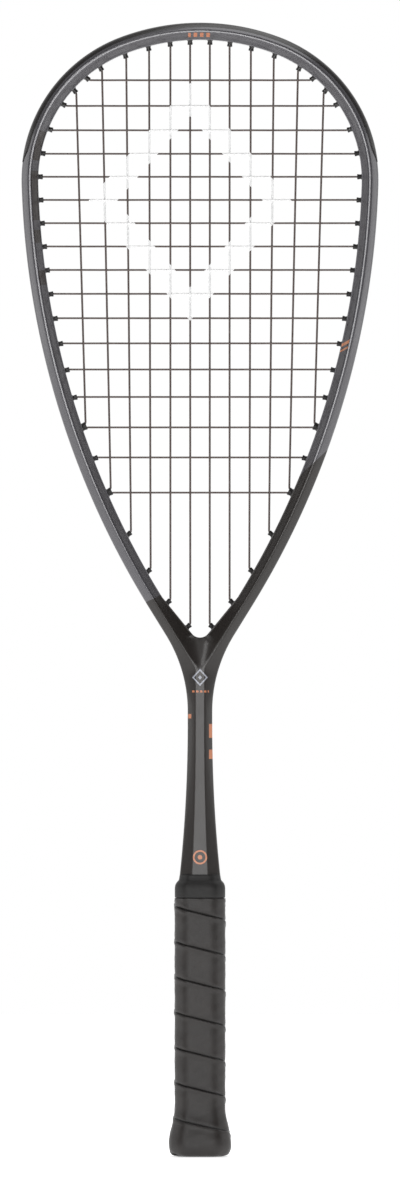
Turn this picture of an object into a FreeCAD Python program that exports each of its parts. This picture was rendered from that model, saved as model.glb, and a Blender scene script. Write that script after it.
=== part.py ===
import FreeCAD, Part
import math
import os

# Squash racket in millimetres. +Z runs from the butt end up to the crown, the string bed
# lies in the XZ plane, and the origin is the centre of the butt end.

Vector = FreeCAD.Vector

# Driving dimensions: handle and shaft
handle_length = 161.0       # butt end to the top of the foam pallet
shaft_length = 108.25       # pallet top to where the throat begins to open
shaft_width = 14.9          # at its slimmest, just under the throat
shaft_base_width = 26.6     # where it meets the pallet
shaft_base_depth = 20.0
shaft_facet = 9.9           # flat front facet where the shaft meets the pallet
shaft_straight = 7.0        # untapered stretch just under the throat
shaft_wall = 1.6
shaft_sections = 9          # sections lofted from the pallet to the throat
tube_width = 20.0           # the tube hidden in the handle
tube_depth = 17.2
tube_bevel = 4.4

# Driving dimensions: head outline, measured on the outer edge, angles in degrees
head_width = 216.2
crown_radius = 136.8
crown_angle = 20.8          # half of the arc that the crown takes up
shoulder_overrun = 1.7      # how far the shoulder arc turns past the widest point
leg_angle = 31.7            # lean of the legs from the vertical
leg_straight = 20.9
throat_radius = 87.8
fork_radius = 6.2           # round bottom of the opening, between the legs
fork_lean = 39.2            # lean of the inner walls just above it

# Driving dimensions: section of the beam
beam_width = 10.2           # across, in the string plane
beam_depth = 19.0           # front to back
beam_wall = 1.3
crest_width = 0.8           # narrow flat along the ridge of the beam
outer_face = 10.0
inner_face = 8.0
web_depth = 9.0             # thickness of the web at the bottom of the opening
web_reach = 0.63            # share of the throat's height where the web is full depth

# Driving dimensions: stringing
string_diameter = 1.2
string_offset = 0.75        # mains in front of the middle plane, crosses behind it
main_pairs = 6
cross_count = 17
edge_main_gap = 21.3        # outermost main to the widest inner wall, at the crown
first_cross_gap = 22.6      # inner crown to the first cross
last_cross_gap = 87.6       # bottom of the opening to the last cross
shared_crosses = (14, 16)   # crosses that share their holes with the two outer mains
string_bend = 1.0           # centre line radius where a string turns into the groove
inner_main_step = 0.5       # first spacing from the centre line, as a share of the next
main_spread = 0.08          # growth of each following spacing at the crown
throat_main_step = 0.66     # first spacing at the bottom of the opening
cross_spread_low = 0.48     # extra spacing of the crosses towards the throat
cross_spread_top = 0.15     # extra spacing of the crosses towards the crown

# Driving dimensions: grommets and bumper
groove_width = 5.6
groove_depth = 3.0
base_thickness = 1.0        # strip that lies on the floor of the groove
string_lift = 0.25          # gap under a string in the groove
barrel_diameter = 3.0
barrel_bore = 2.0
shared_barrel_diameter = 4.6
shared_bore = 3.3
funnel_depth = 0.45         # funnel at a barrel's outer end, where the string turns
barrel_reach = 2.6          # how far a barrel stands out of the inner face
barrel_clearance = 0.1      # on the diameter of the drilled hole
strip_clearance = 0.1       # at each side of a strip in its groove
hole_lean = 0.25            # 0 drills square to the beam, more leans to the string
bumper_band = 3.9           # width of the bumper seen from the front
bumper_thickness = 1.5
lip_sink = 0.7              # how far the lips reach into the bumper's base strip
bumper_shoulder_end = 14.2  # angle on the shoulder where its tip starts to narrow
bumper_tip_end = 6.9        # angle on the shoulder where the tip ends
bumper_crosses = 3          # crosses whose holes lie in the bumper's base strip
strip_gap = 0.5             # between the ends of two strips, in degrees on the shoulder
groove_run_out = 14.0       # degrees that the groove runs into the throat arc

# Driving dimensions: handle
grip_width = 30.9
grip_depth = 26.7
grip_corner = 6.4           # chamfer of the octagon
grip_thickness = 1.7
flare_width = 38.0          # widest point of the butt, over the grip
flare_height = 7.0          # height of that widest point above the butt end
cap_height = 30.0
cap_floor = 3.0
cap_wall = 1.2
edge_round = 4.2            # rounding at the foot of the butt
foot_sections = (0.0, 0.25, 0.6)  # heights of the sections there, as shares of flare_height
flare_sections = 5          # sections from the widest point to the cap's top
wrap_start = 0.9            # lower edge of the grip above the butt end
tape_width = 4.3
tape_thickness = 0.3
collar_height = 14.2
collar_overlap = 4.8        # how far the collar comes down over the pallet
collar_thickness = 0.95
collar_lip = 3.6
collar_lip_corner = 5.0
collar_clearance = 0.3
collar_slope = 2.4          # height over which the collar draws in to its lip
collar_crease = 1.0         # height of the steep part of that slope
collar_draw = 0.5           # how far it has drawn in above the crease
lip_taper = 0.7             # share of the thickness left at the top of the lip
staple_wire = 0.7
staple_span = 9.0
staple_height = 22.0
staple_clearance = 0.3      # to the tube inside and to the face of the cap outside
tool_overlap = 1.0          # how far a cutting shape runs past the face it opens

# Heights and half sizes that follow
half_beam = beam_width / 2
half_depth = beam_depth / 2
half_crest = crest_width / 2
half_head = head_width / 2
half_shaft = shaft_width / 2
throat_height = handle_length + shaft_length
groove_floor = half_beam - groove_depth
base_top = groove_floor + base_thickness
string_line = base_top + string_lift + string_diameter / 2
pallet_half_width = grip_width / 2 - grip_thickness
pallet_half_depth = grip_depth / 2 - grip_thickness
pallet_corner = grip_corner - grip_thickness * (2 - math.sqrt(2))
wrap_top = handle_length - collar_overlap


def cosine(angle):
    return math.cos(math.radians(angle))


def sine(angle):
    return math.sin(math.radians(angle))


def polygon_face(corners):
    return Part.Face(Part.makePolygon(corners + corners[:1]))


def mirrored(shape):
    return shape.mirror(Vector(0, 0, 0), Vector(1, 0, 0))


def both_sides(shape):
    return [shape, mirrored(shape)]


def fused(shapes):
    return shapes[0].fuse(shapes[1:])


class Bend:
    # A stretch of the beam along an arc in the XZ plane. The radius is that of the outer
    # edge, and outward is 1 where the head is on the arc's inside and -1 at the throat.
    def __init__(self, centre, radius, first, last, outward=1):
        self.centre = centre
        self.radius = radius
        self.first = first
        self.last = last
        self.outward = outward
        self.middle = radius - outward * half_beam

    def at(self, angle, offset, depth=0.0):
        reach = self.middle + self.outward * offset
        return self.centre + Vector(reach * cosine(angle), depth, reach * sine(angle))

    def portion(self, first, last):
        return Bend(self.centre, self.radius, first, last, self.outward)

    def angle_of(self, point):
        return math.degrees(math.atan2(point.z - self.centre.z, point.x - self.centre.x))

    def covers(self, point):
        low, high = sorted((self.first, self.last))
        return low - 1e-6 <= self.angle_of(point) <= high + 1e-6

    def normal(self, point):
        angle = self.angle_of(point)
        return Vector(cosine(angle), 0, sine(angle)) * self.outward

    def distance(self, point):
        return abs((point - self.centre).Length - self.radius)

    def meets(self, start, way, offset):
        radius = self.middle + self.outward * offset
        from_centre = start - self.centre
        along = from_centre.dot(way)
        room = along * along - from_centre.dot(from_centre) + radius * radius
        if room < 0:
            return []
        steps = [-along - math.sqrt(room), -along + math.sqrt(room)]
        return [step for step in steps if step > 0 and self.covers(start + way * step)]

    def sweep(self, profile):
        face = polygon_face([self.at(self.first, across, depth) for across, depth in profile])
        turn = self.first - self.last
        return face.revolve(self.centre, Vector(0, math.copysign(1, turn), 0), abs(turn))


class Straight:
    # A straight stretch of the beam, from a point on its outer edge.
    def __init__(self, start, way, length):
        self.start = start
        self.way = way
        self.length = length
        self.outward = Vector(-way.z, 0, way.x)

    def at(self, travel, offset, depth=0.0):
        place = self.start + self.way * travel + self.outward * (offset - half_beam)
        return place + Vector(0, depth, 0)

    def covers(self, point):
        travel = (point - self.start).dot(self.way)
        return -1e-6 <= travel <= self.length + 1e-6

    def normal(self, point):
        return self.outward

    def distance(self, point):
        return abs((point - self.start).dot(self.outward))

    def meets(self, start, way, offset):
        closing = way.dot(self.outward)
        if abs(closing) < 1e-9:
            return []
        step = (self.at(0, offset) - start).dot(self.outward) / closing
        return [step] if step > 0 and self.covers(start + way * step) else []

    def sweep(self, profile):
        face = polygon_face([self.at(0, across, depth) for across, depth in profile])
        return face.extrude(self.way * self.length)


def head_outline():
    # Tangent arcs, worked out from the throat upwards and closed by the shoulder radius.
    throat_centre = Vector(half_shaft + throat_radius, 0, throat_height)
    throat = Bend(throat_centre, throat_radius, 180 - leg_angle, 180, -1)
    leg_way = Vector(-sine(leg_angle), 0, -cosine(leg_angle))
    leg_top = throat.at(throat.first, half_beam) - leg_way * leg_straight
    leg = Straight(leg_top, leg_way, leg_straight)
    shoulder_radius = (half_head - crown_radius * sine(crown_angle)) / (1 - sine(crown_angle))
    flank_top = half_head - shoulder_radius * (1 - cosine(shoulder_overrun))
    flank_radius = (flank_top - leg_top.x) / (cosine(shoulder_overrun) - cosine(leg_angle))
    flank_centre = leg_top + Vector(-cosine(leg_angle), 0, sine(leg_angle)) * flank_radius
    flank = Bend(flank_centre, flank_radius, -shoulder_overrun, -leg_angle)
    along = Vector(cosine(shoulder_overrun), 0, -sine(shoulder_overrun))
    shoulder_centre = flank_centre + along * (flank_radius - shoulder_radius)
    shoulder = Bend(shoulder_centre, shoulder_radius, 90 - crown_angle, -shoulder_overrun)
    drop = (crown_radius - shoulder_radius) * cosine(crown_angle)
    crown_centre = Vector(0, 0, shoulder_centre.z - drop)
    crown = Bend(crown_centre, crown_radius, 90 + crown_angle, 90 - crown_angle)
    return crown, shoulder, flank, leg, throat


crown, shoulder, flank, leg, throat = head_outline()
crown_height = crown.centre.z + crown_radius
sides = [shoulder, flank, leg, throat]
grooved_throat = throat.portion(throat.first, throat.first + groove_run_out)

# The opening narrows to a fork: inner walls that lean from the flank's end to a round bottom.
fork_way = Vector(-sine(fork_lean), 0, -cosine(fork_lean))
fork_out = Vector(cosine(fork_lean), 0, -sine(fork_lean))
flank_end = flank.at(flank.last, -half_beam)
fork_rise = (fork_radius - flank_end.x * cosine(fork_lean)) / sine(fork_lean)
fork_centre = Vector(0, 0, flank_end.z + fork_rise)
fork_tangent = fork_centre + fork_out * fork_radius
fork_wall = Straight(flank_end + fork_out * beam_width, fork_way, (fork_tangent - flank_end).Length)
fork = Bend(fork_centre, fork_radius + beam_width, -fork_lean, -90)
fork_bottom = fork_centre.z - fork_radius
inner_wall = [crown, shoulder, flank, fork_wall, fork]
outer_wall = [crown, shoulder, flank, leg, throat]


def strike(wall, start, way, offset):
    steps = [step for stretch in wall for step in stretch.meets(start, way, offset)]
    return start + way * min(steps)


def wall_normal(point):
    near = [stretch for stretch in outer_wall if stretch.covers(point)]
    return min(near, key=lambda stretch: stretch.distance(point)).normal(point)


def beam_profile():
    right = [(half_crest, half_depth), (half_beam, outer_face / 2),
             (half_beam, -outer_face / 2), (half_crest, -half_depth)]
    left = [(-half_crest, -half_depth), (-half_beam, -inner_face / 2),
            (-half_beam, inner_face / 2), (-half_crest, half_depth)]
    return right + left


def bevel_height(across):
    # Height of the outer bevel of the beam at a distance across from its middle.
    slope = (half_depth - outer_face / 2) / (half_beam - half_crest)
    return half_depth - slope * (across - half_crest)


def cavity_profile():
    # The hollow keeps the wall everywhere, and stays clear of the string groove.
    outside = groove_floor - beam_wall
    inside = -half_beam + beam_wall
    top = half_depth - beam_wall - half_crest
    low_outside = bevel_height(outside) - 2 * beam_wall
    low_inside = inner_face / 2 - beam_wall / 2
    front = [(0.0, top), (outside, min(low_outside, top))]
    back = [(outside, -min(low_outside, top)), (0.0, -top)]
    return front + back + [(inside, -low_inside), (inside, low_inside)]


def band_profile(low, high, width):
    return [(low, width / 2), (high, width / 2), (high, -width / 2), (low, -width / 2)]


def lip_profile(side):
    # One lip of the bumper: over the outer bevel and down beside the groove.
    inner_edge = half_beam - bumper_band
    seat = base_top - lip_sink
    corners = [(inner_edge, bevel_height(inner_edge)), (half_beam, outer_face / 2),
               (half_beam, groove_width / 2), (seat, groove_width / 2),
               (seat, bevel_height(seat) - bumper_thickness),
               (inner_edge, bevel_height(inner_edge) - bumper_thickness)]
    return [(across, side * depth) for across, depth in corners]


def swept(profile, middle, stretches):
    # Sweeps a profile over a middle stretch, if any, and over both sides of the head.
    solids = [stretch.sweep(profile) for stretch in stretches]
    solids += [mirrored(solid) for solid in solids]
    if middle:
        solids.insert(0, middle.sweep(profile))
    return fused(solids)


class Hole:
    # A drilled string hole on the right side: the point where its axis meets the inner
    # face, the way it leads out, the mouth of its barrel and its corner in the groove.
    def __init__(self, entry, string_way, depth, diameter, bore):
        self.way = (wall_normal(entry) + string_way * hole_lean).normalize()
        shift = Vector(0, depth, 0)
        self.mouth = entry - self.way * barrel_reach + shift
        self.corner = strike(outer_wall, entry, self.way, string_line) + shift
        self.diameter = diameter
        self.bore = bore

    def rod(self, diameter, start=0.0, over=4.0):
        length = (self.corner - self.mouth).Length + over - start
        return Part.makeCylinder(diameter / 2, length, self.mouth + self.way * start, self.way)

    def drill(self):
        return self.rod(self.diameter + barrel_clearance)

    def passage(self):
        # The bore of a barrel and the funnel where the string turns into the groove.
        start = self.corner - self.way * (string_line - base_top + funnel_depth)
        radius = self.bore / 2
        funnel = Part.makeCone(radius, radius + 2 * funnel_depth, 2 * funnel_depth,
                               start, self.way)
        return [self.rod(self.bore, -string_diameter), funnel]


def half_way(stretch, first, second):
    # The angle half way between the corners of two holes.
    return (stretch.angle_of(first.corner) + stretch.angle_of(second.corner)) / 2


def fan(outermost, count, first, growth):
    # Offsets of strings from the centre line, whose spacing grows towards the outside.
    steps = [first] + [1 + growth * index for index in range(count - 1)]
    unit = outermost / sum(steps)
    return [unit * sum(steps[:index + 1]) for index in range(count)]


def cross_heights():
    # Crosses are evenly spaced in the middle and open up towards the crown and the throat.
    top = crown_height - beam_width - first_cross_gap
    bottom = fork_bottom + last_cross_gap
    places = [index / (cross_count - 2) for index in range(cross_count - 1)]
    steps = [1 + cross_spread_low * place ** 4 + cross_spread_top * (1 - place) ** 8
             for place in places]
    unit = (top - bottom) / sum(steps)
    return [top - unit * sum(steps[:index]) for index in range(cross_count)]


def string_holes():
    up = Vector(0, 0, 1)
    right = Vector(1, 0, 0)
    inside = -half_beam
    middle = flank.centre.z
    crosses = []
    for row, height in enumerate(cross_heights()):
        entry = strike(inner_wall, Vector(0, 0, height), right, inside)
        if row in shared_crosses:
            way = (right - up) * 0.5
            crosses.append(Hole(entry, way, 0.0, shared_barrel_diameter, shared_bore))
        else:
            crosses.append(Hole(entry, right, -string_offset, barrel_diameter, barrel_bore))
    tops = []
    widest = half_head - beam_width - edge_main_gap
    for across in fan(widest, main_pairs, inner_main_step, main_spread):
        entry = strike([crown, shoulder], Vector(across, 0, middle), up, inside)
        tops.append(Hole(entry, up, string_offset, barrel_diameter, barrel_bore))
    shared = [crosses[row] for row in reversed(shared_crosses)]
    inner_count = main_pairs - len(shared)
    reach = strike(inner_wall, Vector(0, 0, shared_height()), right, inside).x
    bottoms = []
    for across in fan(reach, inner_count + 1, throat_main_step, 0.0)[:inner_count]:
        entry = strike(inner_wall, Vector(across, 0, middle), -up, inside)
        bottoms.append(Hole(entry, -up, string_offset, barrel_diameter, barrel_bore))
    return tops, bottoms + shared, crosses


def shared_height():
    return cross_heights()[shared_crosses[-1]]


def flipped(point):
    return Vector(-point.x, point.y, point.z)


def hole_points(hole, side, depth):
    points = [Vector(point.x, depth, point.z) for point in (hole.mouth, hole.corner)]
    return points if side > 0 else [flipped(point) for point in points]


def groove_point(first, second):
    # A point of the groove half way between two holes of the same side or of the crown.
    chord = (first + second) * 0.5
    side = -1 if chord.x < 0 else 1
    start = Vector(abs(chord.x), 0, chord.z)
    way = wall_normal(start)
    place = strike(outer_wall, start - way * half_beam, way, string_line)
    return Vector(side * place.x, chord.y, place.z)


def string_route(passes):
    # Each pass is a run of the string: corner and mouth of one hole, mouth and corner of
    # the next. Passes are joined along the groove.
    route = []
    for run in passes:
        if route:
            route.append((groove_point(route[-1][0], run[0]), string_diameter * 20))
        corner_radii = [string_bend, string_diameter * 2, string_diameter * 2, string_bend]
        route += list(zip(run, corner_radii))
    return route


def route_wire(route):
    # Straight runs joined by tangent arcs.
    edges = []
    last = route[0][0]
    for index in range(1, len(route) - 1):
        point, radius = route[index]
        before = (point - route[index - 1][0]).normalize()
        after = (route[index + 1][0] - point).normalize()
        turn = before.getAngle(after)
        if turn < 0.002:
            continue
        tangent = radius * math.tan(turn / 2)
        start = point - before * tangent
        end = point + after * tangent
        inward = (after - before).normalize()
        middle = point + inward * (radius / math.cos(turn / 2) - radius)
        edges.append(Part.LineSegment(last, start).toShape())
        edges.append(Part.Arc(start, middle, end).toShape())
        last = end
    edges.append(Part.LineSegment(last, route[-1][0]).toShape())
    return Part.Wire(edges)


def string_solid(passes):
    path = route_wire(string_route(passes))
    first = path.OrderedEdges[0]
    start = first.valueAt(first.FirstParameter)
    way = first.tangentAt(first.FirstParameter)
    ring = Part.Wire(Part.makeCircle(string_diameter / 2, start, way))
    return path.makePipeShell([ring], True, False)


def make_main_string(tops, bottoms):
    columns = [(-1, index) for index in reversed(range(main_pairs))]
    columns += [(1, index) for index in range(main_pairs)]
    passes = []
    for number, (side, index) in enumerate(columns):
        top_mouth, top_corner = hole_points(tops[index], side, string_offset)
        low_mouth, low_corner = hole_points(bottoms[index], side, string_offset)
        run = [top_corner, top_mouth, low_mouth, low_corner]
        passes.append(run if number % 2 == 0 else run[::-1])
    return string_solid(passes)


def make_cross_string(crosses):
    passes = []
    for number, hole in enumerate(crosses):
        left_mouth, left_corner = hole_points(hole, -1, -string_offset)
        right_mouth, right_corner = hole_points(hole, 1, -string_offset)
        run = [left_corner, left_mouth, right_mouth, right_corner]
        passes.append(run if number % 2 == 0 else run[::-1])
    return string_solid(passes)


def bumper_lips():
    # Both lips run round the crown and end in a point low on each shoulder.
    reach = [shoulder.portion(shoulder.first, bumper_tip_end)]
    lips = fused([swept(lip_profile(side), crown, reach) for side in (1, -1)])
    narrow = shoulder.at(bumper_shoulder_end, half_beam - bumper_band)
    tip = shoulder.at(bumper_tip_end, half_beam)
    way = (tip - narrow).normalize()
    depth = Vector(0, beam_depth, 0)
    start = narrow - way * beam_width - depth
    end = tip + way * beam_width - depth
    down = Vector(0, 0, -4 * beam_width)
    below = polygon_face([start, end, end + down, start + down]).extrude(depth * 2)
    return lips.cut(both_sides(below))


def grommet_strip(middle, stretches, holes, width, lips=None):
    # A flat strip on the groove floor, joined to any lips, with a barrel through every hole.
    base_profile = band_profile(groove_floor, base_top, width)
    barrel_end = base_top - base_thickness / 3
    room_profile = band_profile(barrel_end, half_beam + beam_width, beam_depth)
    solids = [stretch.sweep(base_profile) for stretch in stretches]
    rooms = [stretch.sweep(room_profile) for stretch in stretches]
    barrels = [hole.rod(hole.diameter, 0.0, 0.0) for hole in holes]
    drills = [tool for hole in holes for tool in hole.passage()]
    if middle:
        solids, rooms, barrels, drills = [sum([both_sides(one) for one in group], [])
                                          for group in (solids, rooms, barrels, drills)]
        solids.insert(0, middle.sweep(base_profile))
        rooms.insert(0, middle.sweep(room_profile))
    strip = fused(solids)
    if lips:
        strip = strip.fuse(lips).removeSplitter()
    strip = strip.fuse(fused(barrels).cut(rooms))
    for drill in drills:
        strip = strip.cut(drill)
    return strip


def shaft_half_width(height):
    taper = shaft_length - shaft_straight
    share = max(0.0, (handle_length + taper - height) / taper)
    return half_shaft + (shaft_base_width / 2 - half_shaft) * share ** 2


def bevelled(half_width, half_thickness, facet, side, height):
    # Octagon whose front facet and side face have their own half widths.
    quarter = [(facet, half_thickness), (half_width, side)]
    right = quarter + [(across, -depth) for across, depth in reversed(quarter)]
    corners = right + [(-across, depth) for across, depth in reversed(right)]
    return Part.makePolygon([Vector(across, depth, height)
                             for across, depth in corners + corners[:1]])


def octagon(half_width, half_thickness, corner, height):
    return bevelled(half_width, half_thickness, half_width - corner, half_thickness - corner, height)


def loft(wires):
    return Part.makeLoft(wires, True, True)


def shaft_section(height, inset):
    half_width = shaft_half_width(height)
    share = (half_width - half_shaft) / (shaft_base_width / 2 - half_shaft)
    top_facet = half_shaft - half_beam + half_crest
    facet = top_facet + (shaft_facet / 2 - top_facet) * share
    thickness = half_depth + (shaft_base_depth / 2 - half_depth) * share
    return bevelled(half_width - inset, thickness - inset, max(facet - inset / 2, facet / 3),
                    outer_face / 2 - inset / 2, height)


def shaft_heights():
    last = shaft_sections - 1
    return [handle_length + shaft_length * index / last for index in range(last + 1)]


def tube_section(inset, height):
    half_width = tube_width / 2 - inset
    return octagon(half_width, tube_depth / 2 - inset, tube_bevel - inset / 2, height)


def throat_web():
    # Fills the fork between the two ridges and rises to meet the front facet of the shaft.
    knee = leg.at(leg_straight, 0)
    low = throat.at(throat.last, 0)
    bend = throat.at((throat.first + throat.last) / 2, 0)
    corners = [knee, leg.at(0, 0), flank_end, fork_tangent]
    corners += [flipped(point) for point in reversed(corners)]
    edges = [Part.LineSegment(start, end).toShape() for start, end in zip(corners, corners[1:])]
    edges.append(Part.Arc(flipped(knee), flipped(bend), flipped(low)).toShape())
    edges.append(Part.LineSegment(flipped(low), low).toShape())
    edges.append(Part.Arc(low, bend, knee).toShape())
    plan = Part.Face(Part.Wire(edges))
    plan.translate(Vector(0, -half_depth, 0))
    slab = plan.extrude(Vector(0, beam_depth, 0))
    width = Vector(2 * beam_width, 0, 0)
    lower = throat_height + (fork_bottom - throat_height) * web_reach
    steps = [(half_depth, throat_height), (half_depth, lower), (web_depth / 2, fork_bottom),
             (inner_face / 2, flank_end.z), (inner_face / 2, leg_top_height())]
    steps += [(-depth, height) for depth, height in reversed(steps)]
    side = polygon_face([Vector(-width.x, depth, height) for depth, height in steps])
    opening = Part.makeCylinder(fork_radius, beam_depth * 2,
                                fork_centre - Vector(0, beam_depth, 0), Vector(0, 1, 0))
    return slab.common(side.extrude(width * 2)).cut(opening)


def leg_top_height():
    return leg.at(0, -half_beam).z + beam_width


def make_frame(holes, lips):
    outside = swept(beam_profile(), crown, sides)
    shaft = loft([shaft_section(height, 0.0) for height in shaft_heights()])
    tube = loft([tube_section(0.0, cap_floor), tube_section(0.0, handle_length)])
    body = outside.fuse([throat_web(), shaft, tube])
    hollow = swept(cavity_profile(), crown, sides)
    bore = loft([shaft_section(height, shaft_wall) for height in shaft_heights()])
    duct = loft([tube_section(shaft_wall, cap_floor), tube_section(shaft_wall, handle_length)])
    groove_profile = band_profile(groove_floor, half_beam + beam_width, groove_width)
    groove = swept(groove_profile, crown, [shoulder, flank, leg, grooved_throat])
    body = body.cut([hollow, bore, duct]).cut([groove, lips])
    drills = sum([both_sides(hole.drill()) for hole in holes], [])
    return body.cut(drills)


def pallet_outside():
    core = [octagon(pallet_half_width - cap_wall, pallet_half_depth - cap_wall,
                    pallet_corner - cap_wall / 2, height) for height in (cap_floor, cap_height)]
    upper = [octagon(pallet_half_width, pallet_half_depth, pallet_corner, height)
             for height in (cap_height, handle_length)]
    return loft(core).fuse(loft(upper))


def make_pallet():
    tube = loft([tube_section(0.0, cap_floor), tube_section(0.0, handle_length)])
    return pallet_outside().cut(tube)


def butt_section(height, inset):
    # The butt swells from the grip to its widest point, then rounds in to the end.
    swell = (flare_width - grip_width) / 2
    if height >= flare_height:
        share = min(1.0, (height - flare_height) / (cap_height - flare_height))
        extra = swell * (0.5 + 0.5 * math.cos(math.pi * share))
    else:
        share = 1 - height / flare_height
        extra = swell - edge_round * (1 - math.sqrt(max(0.0, 1 - share ** 2)))
    half_width = grip_width / 2 + extra - inset
    thickness = grip_depth / 2 + extra - inset
    return octagon(half_width, thickness, grip_corner + extra * 0.3 - inset * 0.6, height)


def butt_heights(start):
    rounding = [start + share * (flare_height - start) for share in foot_sections]
    rise = (cap_height - flare_height) / flare_sections
    return rounding + [flare_height + rise * step for step in range(flare_sections + 1)]


def butt_outside():
    return loft([butt_section(height, grip_thickness) for height in butt_heights(0.0)])


def make_butt_cap():
    core = [octagon(pallet_half_width - cap_wall, pallet_half_depth - cap_wall,
                    pallet_corner - cap_wall / 2, height) for height in (cap_floor, cap_height)]
    return butt_outside().cut(loft(core))


def make_grip_wrap():
    heights = butt_heights(wrap_start) + [wrap_top]
    outside = loft([butt_section(height, 0.0) for height in heights])
    return outside.cut([butt_outside(), pallet_outside()])


def ring(half_width, half_thickness, corner, thickness, low, high):
    outer = loft([octagon(half_width + thickness, half_thickness + thickness,
                          corner + thickness * 0.6, height) for height in (low, high)])
    inner = loft([octagon(half_width, half_thickness, corner, height) for height in (low, high)])
    return outer.cut(inner)


def make_finishing_tape():
    return ring(pallet_half_width, pallet_half_depth, pallet_corner, tape_thickness,
                wrap_top, wrap_top + tape_width)


def make_grip_collar():
    # Rubber collar: a sleeve over the pallet's end and a lip that hugs the shaft.
    low = wrap_top + collar_clearance
    top = low + collar_height
    lip = top - collar_lip
    sleeve_in = tape_thickness + collar_clearance
    sleeve_out = sleeve_in + collar_thickness
    step = handle_length + collar_clearance
    lip_width = shaft_half_width(step) + collar_clearance
    lip_depth = shaft_base_depth / 2 + collar_clearance
    lip_corner = collar_lip_corner
    outer = [octagon(pallet_half_width + sleeve_out, pallet_half_depth + sleeve_out,
                     pallet_corner + sleeve_out * 0.6, height) for height in (low, lip - collar_slope)]
    drawn_in = sleeve_out - collar_draw
    outer.append(octagon(pallet_half_width + drawn_in, pallet_half_depth + drawn_in,
                         pallet_corner + sleeve_out * 0.6, lip - collar_crease))
    outer.append(octagon(lip_width + collar_thickness, lip_depth + collar_thickness,
                         lip_corner + collar_thickness * 0.4, lip))
    tip_thickness = collar_thickness * lip_taper
    outer.append(octagon(lip_width + tip_thickness, lip_depth + tip_thickness,
                         lip_corner + collar_thickness * 0.4, top))
    sleeve = loft([octagon(pallet_half_width + sleeve_in, pallet_half_depth + sleeve_in,
                           pallet_corner + sleeve_in * 0.5, height) for height in (low - tool_overlap, step)])
    mouth = loft([octagon(lip_width, lip_depth, lip_corner, height)
                  for height in (step - tool_overlap, top + tool_overlap)])
    return loft(outer).cut([sleeve, mouth])


def staple(side):
    # A square-wire staple driven through the cap's wall into the pallet.
    top = staple_height + staple_wire
    face_depth = butt_section(top, grip_thickness).BoundBox.YMax - staple_clearance
    leg_length = face_depth - tube_depth / 2 - staple_clearance
    crown_bar = Part.makeBox(staple_span, staple_wire, staple_wire,
                             Vector(-staple_span / 2, face_depth - staple_wire, staple_height))
    legs = [Part.makeBox(staple_wire, leg_length, staple_wire,
                         Vector(across, face_depth - leg_length, staple_height))
            for across in (-staple_span / 2, staple_span / 2 - staple_wire)]
    whole = fused([crown_bar] + legs)
    return whole if side > 0 else whole.mirror(Vector(0, 0, 0), Vector(0, 1, 0))


def save(name, shape):
    solids = shape.Solids
    whole = solids[0] if len(solids) == 1 else Part.makeCompound(solids)
    whole.exportStep(os.path.join("parts", name + ".step"))
    box = whole.BoundBox
    print(name, "solids", len(solids), "valid", whole.isValid(), "volume", round(whole.Volume, 1),
          "z", round(box.ZMin, 2), round(box.ZMax, 2))


def main():
    os.makedirs("parts", exist_ok=True)
    tops, bottoms, crosses = string_holes()
    shared = [crosses[row] for row in shared_crosses]
    lone_bottoms = [hole for hole in bottoms if hole not in shared]
    lips = bumper_lips()
    save("frame", make_frame(tops + lone_bottoms + crosses, lips))

    # The strips meet half way between two neighbouring holes.
    crown_holes = tops + crosses[:bumper_crosses]
    side_holes = crosses[bumper_crosses:]
    bumper_base_end = half_way(shoulder, crown_holes[-1], side_holes[0])
    strip_split = half_way(flank, shared[-1], lone_bottoms[-1])
    bumper_base = shoulder.portion(shoulder.first, bumper_base_end)
    save("bumper_guard", grommet_strip(crown, [bumper_base], crown_holes, groove_width, lips))

    strip_start = shoulder.portion(bumper_base_end - strip_gap, shoulder.last)
    upper_flank = flank.portion(flank.first, strip_split)
    lower_flank = flank.portion(strip_split - strip_gap / 4, flank.last)
    width = groove_width - 2 * strip_clearance
    side_strip = grommet_strip(None, [strip_start, upper_flank], side_holes, width)
    throat_strip = grommet_strip(None, [lower_flank, leg, grooved_throat], lone_bottoms, width)
    save("side_grommets_right", side_strip)
    save("side_grommets_left", mirrored(side_strip))
    save("throat_grommets_right", throat_strip)
    save("throat_grommets_left", mirrored(throat_strip))

    save("main_string", make_main_string(tops, bottoms))
    save("cross_string", make_cross_string(crosses))

    staples = Part.makeCompound([staple(side) for side in (1, -1)])
    save("handle_pallet", make_pallet().cut(staples))
    save("butt_cap", make_butt_cap().cut(staples))
    save("butt_cap_staples", staples)
    save("grip_wrap", make_grip_wrap())
    save("finishing_tape", make_finishing_tape())
    save("grip_collar", make_grip_collar())
    print("overall length", round(crown_height, 2), "strips end at", round(bumper_base_end, 2),
          round(strip_split, 2))


main()
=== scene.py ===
import math
import bmesh
import bpy
from mathutils import Matrix, Vector


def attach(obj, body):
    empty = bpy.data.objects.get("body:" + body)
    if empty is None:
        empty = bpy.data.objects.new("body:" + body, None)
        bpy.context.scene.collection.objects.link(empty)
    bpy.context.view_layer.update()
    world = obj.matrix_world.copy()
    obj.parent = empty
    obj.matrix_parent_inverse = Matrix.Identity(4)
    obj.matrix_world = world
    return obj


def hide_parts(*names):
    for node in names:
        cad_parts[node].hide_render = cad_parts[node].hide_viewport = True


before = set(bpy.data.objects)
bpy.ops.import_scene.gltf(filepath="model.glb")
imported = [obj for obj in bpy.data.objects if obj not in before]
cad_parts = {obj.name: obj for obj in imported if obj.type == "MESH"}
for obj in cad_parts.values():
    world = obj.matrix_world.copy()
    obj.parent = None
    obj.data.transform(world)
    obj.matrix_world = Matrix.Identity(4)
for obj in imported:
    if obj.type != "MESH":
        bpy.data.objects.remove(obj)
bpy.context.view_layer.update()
print("frame loaded")


# The outline of the head, in metres, seen in the XZ plane

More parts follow.
